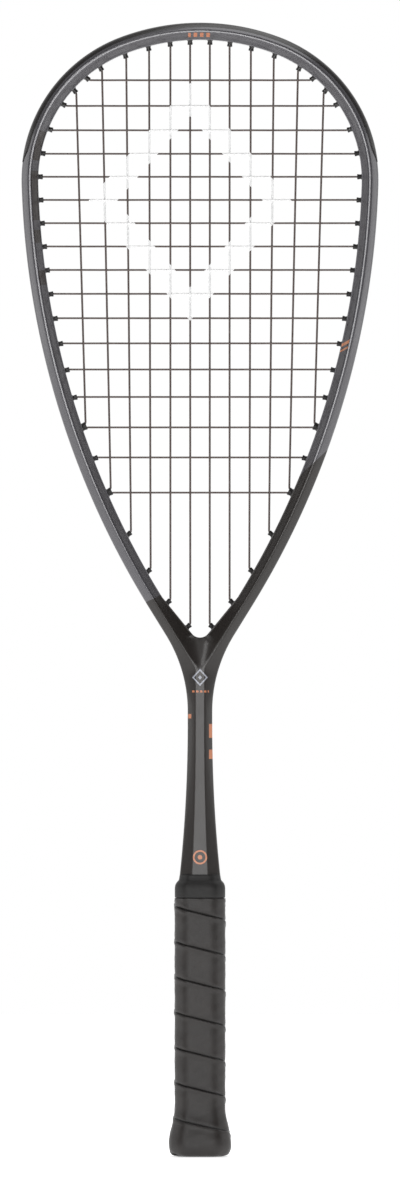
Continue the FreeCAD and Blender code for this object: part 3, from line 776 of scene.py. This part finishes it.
def makeBumper(material):
    rows = []
    count = bumper["crownCount"]
    for index in range(count + 1):
        rows.append(bumperRow(*crown.station(index / count), 0.0))
    reach = Arc(shoulder.centre, shoulder.radius, shoulder.first, bumper["tipAt"])
    count = bumper["shoulderCount"]
    taper = bumper["narrowFrom"] - bumper["tipAt"]
    for index in range(1, count + 1):
        angle = reach.first + (reach.last - reach.first) * index / count
        narrowing = max(0.0, (bumper["narrowFrom"] - angle) / taper)
        rows.append(bumperRow(*reach.station(index / count), narrowing * bumper["narrowest"]))
    bm = bmesh.new()
    sweepRows(bm, rows)
    mirrorAll(bm, "Y")
    mirrorAll(bm, "X")
    ends = [edge for edge in bm.edges if len(edge.link_faces) == 1]
    for side in (-1, 1):
        rim = [edge for edge in ends if edge.verts[0].co.x * side > 0]
        bmesh.ops.contextual_create(bm, geom=rim)
    for hole in tops + [hole for hole in crosses if hole.mouth.y > baseLimit]:
        for side in (-1, 1):
            addBarrel(bm, hole, side)
    finishPiece(bm, "bumperGuard", "racket", material, "bumper_guard", 50)


def stripRow(outer, normal, side):
    # A shallow U that lines the groove
    wall = head["grooveHalf"] - 0.00015
    floor, brim = bumper["floor"], halfBeam - 0.0002
    under = floor - 0.001
    profile = [(floor, 0), (floor, wall - 0.0007), (brim, wall - 0.0004), (brim, wall),
               (under, wall), (under, 0)]
    whole = profile + [(across, -depth) for across, depth in reversed(profile[1:-1])]
    row = []
    for across, depth in whole:
        spot = outer - normal * (halfBeam - across)
        row.append(Vector((spot.x * side, -depth, spot.y)))
    return row


def makeStrip(name, stretches, stripHoles, side, material, node):
    rows = []
    for stretch in stretches:
        count = max(6, int(stretch.length / 0.004))
        for index in range(0 if not rows else 1, count + 1):
            rows.append(stripRow(*stretch.station(index / count), side))
    bm = bmesh.new()
    first, last = sweepRows(bm, rows, True)
    for ring in (first, last):
        bmesh.ops.contextual_create(bm, geom=ring)
    for hole in stripHoles:
        addBarrel(bm, hole, side)
    finishPiece(bm, name, "racket", material, node, 40)


def makeStrips(material):
    sideHoles = [hole for hole in crosses if hole.mouth.y <= baseLimit]
    lone = [hole for hole in bottoms if not hole.shared]
    gap, split = bumper["stripGap"], -bumper["stripSplit"]
    start = Arc(shoulder.centre, shoulder.radius, bumper["baseEnd"] - gap, shoulder.last)
    upper = Arc(flank.centre, flank.radius, flank.first, split)
    lower = Arc(flank.centre, flank.radius, split - gap / 4, flank.last)
    throatEnd = throat.first + bumper["runOut"]
    throatPart = Arc(throat.centre, throat.radius, throat.first, throatEnd, -1)
    for side, word in ((-1, "Left"), (1, "Right")):
        makeStrip("sideStrip" + word, [start, upper], sideHoles, side, material,
                  "side_grommets_" + word.lower())
        makeStrip("throatStrip" + word, [lower, leg, throatPart], lone, side, material,
                  "throat_grommets_" + word.lower())


makeBumper(bumperPlastic())
makeStrips(mouldedPlastic("grommetPlastic", (22, 20, 20), 0.3, 120.0))


# Strings, woven over and under each other

strings = {"radius": 0.00062, "crossRadius": 0.94, "lift": 0.0006, "samples": 4, "bend": 0.0012}


def weaveRun(start, end, crossings, sign):
    # Points between two mouths, over and under at every crossing
    points = [start]
    spots = [(share, sign * (-1) ** index * strings["lift"]) for index, share in enumerate(crossings)]
    for index, (share, depth) in enumerate(spots):
        if index:
            oldShare, oldDepth = spots[index - 1]
            for step in range(1, strings["samples"]):
                part = step / strings["samples"]
                mixed = oldDepth + (depth - oldDepth) * (0.5 - 0.5 * math.cos(math.pi * part))
                spot = start.lerp(end, oldShare + (share - oldShare) * part)
                points.append(Vector((spot.x, mixed, spot.z)))
        spot = start.lerp(end, share)
        points.append(Vector((spot.x, depth, spot.z)))
    points.append(end)
    return points


def crossingShare(start, end, other):
    # Share of the way from start to end at which the straight line meets the other string
    first, last = other
    way, turn, gap = end - start, last - first, first - start
    down = way.x * turn.z - way.z * turn.x
    return (gap.x * turn.z - gap.z * turn.x) / down


def bends(points):
    # Rounds the sharp corners of a string's path
    result = [points[0]]
    for before, corner, after in zip(points, points[1:], points[2:]):
        turn = (corner - before).angle(after - corner, 0.0)
        if turn > 0.3:
            result += softCorner(before, corner, after, strings["bend"], 4)
        else:
            result.append(corner)
    return result + [points[-1]]


def grooveSpot(first, second):
    chord = (first + second) * 0.5
    side = -1 if chord.x < 0 else 1
    flat = Vector((abs(chord.x), chord.z))
    way = wallNormal(flat)
    spot = strike(outerWall, flat - way * halfBeam, way, head["stringLine"])
    return Vector((side * spot.x, chord.y, spot.y))


def stringRuns(passes):
    path = []
    for run in passes:
        if path:
            last, first = path[-1], run[0]
            middle = grooveSpot(last, first)
            path += [grooveSpot(last, middle), middle, grooveSpot(middle, first)]
        path += run
    return bends(path)


def makeTube(name, path, radius, material, node):
    curve = bpy.data.curves.new(name, "CURVE")
    curve.dimensions = "3D"
    curve.bevel_depth = radius
    curve.bevel_resolution = 2
    curve.use_fill_caps = True
    spline = curve.splines.new("POLY")
    spline.points.add(len(path) - 1)
    for point, spot in zip(spline.points, path):
        point.co = (*spot, 1.0)
    line = bpy.data.objects.new(name + "Line", curve)
    bpy.context.collection.objects.link(line)
    bpy.context.view_layer.update()
    solid = line.evaluated_get(bpy.context.evaluated_depsgraph_get())
    mesh = bpy.data.meshes.new_from_object(solid)
    bpy.data.objects.remove(line)
    bm = bmesh.new()
    bm.from_mesh(mesh)
    finishPiece(bm, name, "racket", material, node, 60)


def mainEnds(index):
    side = -1 if index < holes["mainPairs"] else 1
    pair = holes["mainPairs"] - 1 - index if side < 0 else index - holes["mainPairs"]
    return side, tops[pair], bottoms[pair]


def makeStrings(material):
    depth = holes["offset"]
    mainLines, crossLines = [], []
    for index in range(2 * holes["mainPairs"]):
        side, top, bottom = mainEnds(index)
        mainLines.append((top.spot(top.mouth, side, depth),
                          bottom.spot(bottom.mouth, side, depth, holes["spread"])))
    for hole in crosses:
        crossLines.append(tuple(hole.spot(hole.mouth, side, -depth, -holes["spread"])
                                for side in (-1, 1)))
    mains = []
    for index, (start, end) in enumerate(mainLines):
        side, top, bottom = mainEnds(index)
        shares = []
        for row, line in enumerate(crossLines):
            share = crossingShare(start, end, line)
            if 0.02 < share < 0.98:
                shares.append((share, row))
        sign = (-1) ** (index + (shares[0][1] if shares else 0))
        run = weaveRun(start, end, [share for share, row in shares], sign)
        run = [top.spot(top.corner, side, depth)] + run + [bottom.spot(bottom.corner, side, depth)]
        mains.append(run if index % 2 == 0 else run[::-1])
    rows = []
    for row, (start, end) in enumerate(crossLines):
        hole = crosses[row]
        shares = []
        for index, line in enumerate(mainLines):
            if not line[1].z < start.z < line[0].z:
                continue
            share = crossingShare(start, end, line)
            if 0.01 < share < 0.99:
                shares.append((share, index))
        sign = -((-1) ** (row + (shares[0][1] if shares else 0)))
        run = weaveRun(start, end, [share for share, index in shares], sign)
        run = [hole.spot(hole.corner, -1, -depth)] + run + [hole.spot(hole.corner, 1, -depth)]
        rows.append(run if row % 2 == 0 else run[::-1])
    makeTube("mainString", stringRuns(mains), strings["radius"], material, "main_string")
    makeTube("crossString", stringRuns(rows), strings["radius"] * strings["crossRadius"],
             material, "cross_string")


makeStrings(stringGut("stringGut"))


# Grip, butt cap and collar

grip = {
    "halfWidth": 0.01545, "halfDepth": 0.01335, "corner": 0.0064, "flare": 0.00355,
    "flareHeight": 0.007, "capHeight": 0.03, "edgeRound": 0.0042, "bottom": 0.0009,
    "top": 0.1562, "pitch": 0.02135, "seamHeight": 0.1473, "sharpness": 18.0, "steps": 96,
    "bulge": 0.00032, "crevice": 0.00075, "turns": 9, "unevenness": 0.00009, "gather": 0.00022,
    # Places across one turn of the wrap where its section has a point
    "section": (0, 0.012, 0.03, 0.05, 0.07, 0.14, 0.22, 0.3, 0.38, 0.46, 0.54, 0.62, 0.7, 0.78, 0.86,
                0.89, 0.92, 0.94, 0.955, 0.965, 0.975, 0.985, 0.993, 1.0),
}


def softOctagon(angle, halfWidth, halfDepth, corner):
    # Distance from the middle to a soft eight-sided outline
    slanted = (halfWidth + halfDepth - corner) / math.sqrt(2)
    total = 0.0
    for face in range(8):
        reach = (halfWidth, slanted, halfDepth, slanted)[face % 4]
        total += max(0.0, math.cos(angle - face * math.pi / 4) / reach) ** grip["sharpness"]
    return total ** (-1 / grip["sharpness"])


def gripExtra(z):
    if z >= grip["flareHeight"]:
        share = min(1.0, (z - grip["flareHeight"]) / (grip["capHeight"] - grip["flareHeight"]))
        return grip["flare"] * (0.5 + 0.5 * math.cos(math.pi * share))
    share = min(1.0, 1 - z / grip["flareHeight"])
    return grip["flare"] - grip["edgeRound"] * (1 - math.sqrt(max(0.0, 1 - share ** 2)))


def gripRadius(angle, z):
    extra = gripExtra(max(z, 0.0))
    return softOctagon(angle, grip["halfWidth"] + extra, grip["halfDepth"] + extra,
                       grip["corner"] + extra * 0.3)


def wrapOffset(share):
    # Height of the wrap over its base across one turn, from its lower to its upper edge
    if share > 0.955:
        return grip["bulge"] - (grip["bulge"] + grip["crevice"]) * ((share - 0.955) / 0.045) ** 2
    if share > 0.86:
        return grip["bulge"] * math.sin((share - 0.86) / 0.095 * math.pi / 2)
    if share < 0.07:
        return -grip["crevice"] * (1 - share / 0.07) ** 1.5
    return 0.0


def makeGrip(material):
    base = 0.015  # radius of the plain coil that is then pressed on the handle
    turns = grip["turns"]
    # The seams cross the front of the grip at the seam height and go down to the right
    startAngle = math.pi / 2
    startHeight = grip["seamHeight"] + grip["pitch"] * 0.5
    bm = bmesh.new()
    chain = []
    for share in grip["section"]:
        radius = base + wrapOffset(share)
        chain.append(bm.verts.new((radius * math.cos(startAngle), radius * math.sin(startAngle),
                                   startHeight + grip["pitch"] * share)))
    edges = [bm.edges.new(pair) for pair in zip(chain, chain[1:])]
    bmesh.ops.spin(bm, geom=chain + edges, cent=(0, 0, 0), axis=(0, 0, 1),
                   dvec=(0, 0, -grip["pitch"] / grip["steps"]), angle=2 * math.pi * turns,
                   steps=grip["steps"] * turns, use_merge=False, use_normal_flip=False)
    bmesh.ops.remove_doubles(bm, verts=bm.verts, dist=5e-6)
    crevice = bm.verts.layers.float.new("crevice")
    for vert in bm.verts:
        angle = math.atan2(vert.co.y, vert.co.x)
        offset = math.hypot(vert.co.x, vert.co.y) - base
        z = vert.co.z
        # How deep each point lies in the crevice between turns, which the leather uses to paint shade
        # there
        vert[crevice] = min(1.0, max(0.0, -offset / grip["crevice"]))
        # Slight unevenness, and gathers just under the collar
        wave = grip["unevenness"] * math.sin(angle * 3 + z * 410)
        wave += grip["unevenness"] * 2 / 3 * math.sin(angle * 7 - z * 900)
        gather = max(0.0, 1 - (grip["top"] - z) / 0.012)
        wave += gather * grip["gather"] * math.sin(angle * 11 + z * 1500)
        radius = gripRadius(angle, z) + offset + wave - grip["bulge"] * 0.3
        vert.co.x, vert.co.y = radius * math.cos(angle), radius * math.sin(angle)
    for height, way in ((grip["bottom"], -1), (grip["top"], 1)):
        bmesh.ops.bisect_plane(bm, geom=bm.verts[:] + bm.edges[:] + bm.faces[:], dist=1e-7,
                               plane_co=(0, 0, height), plane_no=(0, 0, way), clear_outer=True)
    ends = [edge for edge in bm.edges if len(edge.link_faces) == 1]
    for low, high in ((-1, 0.05), (0.05, 1)):
        rim = [edge for edge in ends if low < edge.verts[0].co.z < high]
        made = bmesh.ops.extrude_edge_only(bm, edges=rim)["geom"]
        fresh = [item for item in made if isinstance(item, bmesh.types.BMVert)]
        inward = 0.93 if low < 0 else 0.9
        bmesh.ops.scale(bm, vec=(inward, inward, 1), verts=fresh)
        bmesh.ops.translate(bm, vec=(0, 0, -0.0005 if low < 0 else 0.0), verts=fresh)
        closing = [item for item in made if isinstance(item, bmesh.types.BMEdge)
                   and item.verts[0] in fresh and item.verts[1] in fresh]
        bmesh.ops.contextual_create(bm, geom=closing)
    finishPiece(bm, "gripWrap", "racket", material, "grip_wrap", 70)


def octagonRow(z, halfWidth, halfDepth, corner):
    row = []
    for index in range(grip["steps"]):
        angle = 2 * math.pi * index / grip["steps"]
        radius = softOctagon(angle, halfWidth, halfDepth, corner)
        row.append(Vector((radius * math.cos(angle), radius * math.sin(angle), z)))
    return row


# The cap's outside as heights and how far each lies inside the grip
cap = {
    "levels": ((0.029, 0.0018), (0.012, 0.0018), (0.004, 0.0018), (0.0022, 0.0018), (0.0010, 0.0014),
               (0.0006, 0.0014), (0.0002, 0.0020), (0.0, 0.0027), (0.0, 0.0058), (0.0004, 0.0062),
               (0.0006, 0.0066), (0.0006, 0.0096), (0.0003, 0.0099), (0.0003, 0.0112)),
    "lowest": 0.0006,
}


def makeButtCap(material):
    rows = []
    for z, inset in cap["levels"]:
        extra = gripExtra(max(z, cap["lowest"])) - inset
        rows.append(octagonRow(z, grip["halfWidth"] + extra, grip["halfDepth"] + extra,
                               grip["corner"] + extra * 0.3))
    bm = bmesh.new()
    for ring in sweepRows(bm, rows, True):
        bmesh.ops.contextual_create(bm, geom=ring)
    finishPiece(bm, "buttCap", "racket", material, "butt_cap", 45)


collar = {"low": 0.1565, "lip": 0.1671, "top": 0.1707, "seat": 0.1616, "halfWidth": 0.0153,
          "halfDepth": 0.0132}


def makeCollar(material):
    # Height, half width, half depth and corner of each ring, up the outside and down the inside
    low, lip, top, seat = collar["low"], collar["lip"], collar["top"], collar["seat"]
    wide, deep = collar["halfWidth"], collar["halfDepth"]
    levels = [(low + 0.0001, wide - 0.0010, deep - 0.0010, 0.0059),
              (low, wide - 0.0006, deep - 0.0006, 0.0059),
              (low + 0.0003, wide - 0.0001, deep - 0.0001, 0.0060),
              (low + 0.0010, wide, deep, 0.0060), (lip - 0.0048, wide, deep, 0.0060),
              (lip - 0.0032, wide - 0.0002, deep - 0.0002, 0.0060),
              (lip - 0.0020, wide - 0.0007, deep - 0.0006, 0.0060),
              (lip - 0.0010, wide - 0.0014, deep - 0.0012, 0.0058),
              (lip - 0.0003, wide - 0.0021, deep - 0.0017, 0.0056),
              (lip + 0.0003, wide - 0.0025, deep - 0.0020, 0.0055),
              (top - 0.0010, wide - 0.0029, deep - 0.0022, 0.0054),
              (top - 0.0003, wide - 0.0030, deep - 0.0023, 0.0054),
              (top, wide - 0.0034, deep - 0.0026, 0.0053),
              (top - 0.0001, wide - 0.0037, deep - 0.0030, 0.0052),
              (top - 0.0040, wide - 0.0036, deep - 0.0030, 0.0052),
              (seat, wide - 0.0019, deep - 0.0019, 0.0052),
              (seat - 0.0003, wide - 0.0011, deep - 0.0011, 0.0052),
              (low + 0.0006, wide - 0.0011, deep - 0.0011, 0.0055)]
    bm = bmesh.new()
    first, last = sweepRows(bm, [octagonRow(*level) for level in levels], True)
    edges = [bm.edges.get((ring[index - 1], ring[index]))
             for ring in (first, last) for index in range(len(ring))]
    bmesh.ops.bridge_loops(bm, edges=edges)
    finishPiece(bm, "gripCollar", "collar", material, "grip_collar", 45)


makeGrip(gripLeather())
makeButtCap(mouldedPlastic("capPlastic", (24, 22, 22), 0.35, 90.0))
makeCollar(softRubber())


# Finishes of the parts kept from the frame

def dress(node, material):
    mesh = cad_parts[node].data
    mesh.materials.clear()
    mesh.materials.append(material)


dress("handle_pallet", palletFoam())
dress("butt_cap_staples", stapleSteel())
dress("finishing_tape", wovenTape())
print("frame parts dressed")


# Floor, light and camera

studio = {
    "distance": 9.0, "middle": 0.3435, "tall": 0.7135, "dim": 0.1, "floorRadius": 3.0,
    # Name, place, target, width, height and power of each light
    "lights": (("keyLight", (-1.8, -5.0, 2.6), (0, 0, 0.4), 1.6, 1.6, 50),
               ("crestLight", (-0.5, -10.5, 0.6), (0, 0, 0.4), 2.6, 2.6, 190),
               ("topLight", (0.3, -0.3, 2.8), (0, 0, 0.5), 2.2, 1.2, 16),
               ("leftLight", (-2.6, 0.2, 0.6), (0, 0, 0.4), 0.6, 1.8, 6),
               ("rightLight", (2.6, 0.2, 0.6), (0, 0, 0.4), 0.6, 1.8, 6)),
}


def makeFloor():
    bm = bmesh.new()
    bmesh.ops.create_circle(bm, cap_ends=True, segments=96, radius=studio["floorRadius"])
    bmesh.ops.translate(bm, vec=(0, 0, -0.0003), verts=bm.verts)
    mesh = bpy.data.meshes.new("studioFloor")
    bm.to_mesh(mesh)
    bm.free()
    floor = bpy.data.objects.new("studioFloor", mesh)
    bpy.context.collection.objects.link(floor)
    finish = Finish("floorPaper", roughness=0.9, specularIorLevel=0.1, emissionStrength=0.62)
    pale = finish.blend(finish.noise(3.0), colour(250, 250, 250), colour(254, 254, 254))
    finish.use(baseColor=pale, emissionColor=pale)
    mesh.materials.append(finish.material)


def softLight(name, place, target, width, height, power):
    light = bpy.data.lights.new(name, "AREA")
    light.shape = "RECTANGLE"
    light.size, light.size_y, light.energy = width, height, power
    lamp = bpy.data.objects.new(name, light)
    bpy.context.collection.objects.link(lamp)
    lamp.location = place
    lamp.rotation_euler = (Vector(target) - Vector(place)).to_track_quat("-Z", "Y").to_euler()


def makeCamera():
    camera = bpy.data.cameras.new("camera")
    camera.sensor_fit = "VERTICAL"
    camera.sensor_height = 36.0
    camera.lens = 36.0 * studio["distance"] / studio["tall"]
    camera.clip_end = 100.0
    holder = bpy.data.objects.new("camera", camera)
    bpy.context.collection.objects.link(holder)
    holder.location = (0.0, -studio["distance"], studio["middle"])
    holder.rotation_euler = (math.pi / 2, 0, 0)
    bpy.context.scene.camera = holder


def makeWorld():
    # White behind the racket and dimmer in front, as in a small studio
    world = bpy.data.worlds.new("studioWorld")
    world.use_nodes = True
    tree = world.node_tree
    background = tree.nodes["Background"]
    background.inputs["Color"].default_value = (1, 1, 1, 1)
    split = tree.nodes.new("ShaderNodeSeparateXYZ")
    tree.links.new(tree.nodes.new("ShaderNodeTexCoord").outputs["Generated"], split.inputs[0])
    fade = tree.nodes.new("ShaderNodeMapRange")
    fade.interpolation_type = "SMOOTHSTEP"
    tree.links.new(split.outputs["Y"], fade.inputs["Value"])
    limits = {"From Min": -0.1, "From Max": 0.5, "To Min": studio["dim"], "To Max": 1.0}
    for name, value in limits.items():
        fade.inputs[name].default_value = value
    seen = tree.nodes.new("ShaderNodeLightPath")
    whole = tree.nodes.new("ShaderNodeMath")
    whole.operation = "MAXIMUM"
    tree.links.new(fade.outputs[0], whole.inputs[0])
    tree.links.new(seen.outputs["Is Camera Ray"], whole.inputs[1])
    tree.links.new(whole.outputs[0], background.inputs["Strength"])
    bpy.context.scene.world = world


makeFloor()
makeWorld()
for name, place, target, width, height, power in studio["lights"]:
    softLight(name, place, target, width, height, power)
bpy.context.scene.view_settings.view_transform = "Standard"
makeCamera()
print("studio ready")
